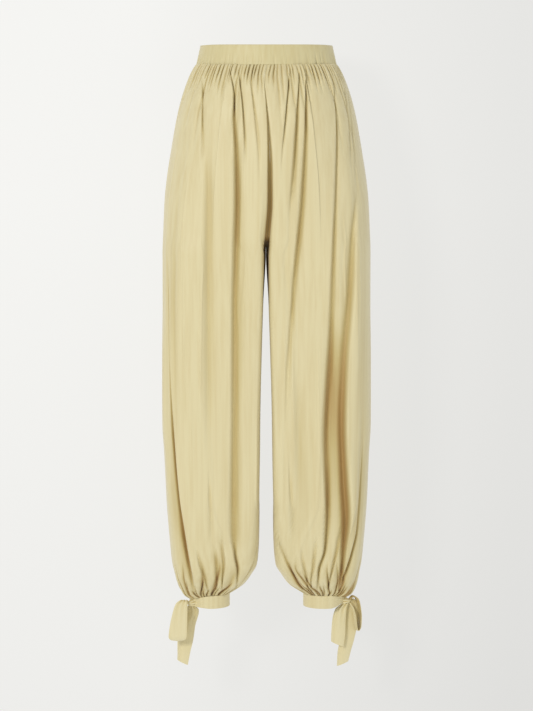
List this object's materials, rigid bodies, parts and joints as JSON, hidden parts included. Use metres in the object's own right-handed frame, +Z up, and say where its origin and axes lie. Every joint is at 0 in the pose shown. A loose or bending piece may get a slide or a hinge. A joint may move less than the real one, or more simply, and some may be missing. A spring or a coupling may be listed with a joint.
{
  "type": "gathered tie-ankle harem trousers",
  "caption": "Full-length satin harem trousers, gathered into a plain waistband and into narrow ankle bands that tie in bows at the outer sides.",
  "frame": {"origin": "centre of the waistband's top edge, where the wearer's waist holds the garment up", "axes": "+Z up along the body, +X to the wearer's left, front toward -Y"},
  "size_m": [0.402, 0.2666, 1.203],
  "materials": {
    "satin": "soft satin crepe, pale butter yellow",
    "tie": "soft satin crepe, pale butter yellow, double layer"
  },
  "bodies": {
    "root": {"waistband": "satin", "front_leg_left": "satin", "front_leg_right": "satin", "back_leg_left": "satin", "back_leg_right": "satin", "ankle_band_left": "satin", "ankle_band_right": "satin", "loop_left": "tie", "loop_right": "tie", "tail_front_left": "tie", "tail_front_right": "tie", "tail_rear_left": "tie", "tail_rear_right": "tie", "knot_left": "tie", "knot_right": "tie"}
  },
  "joints": []
}
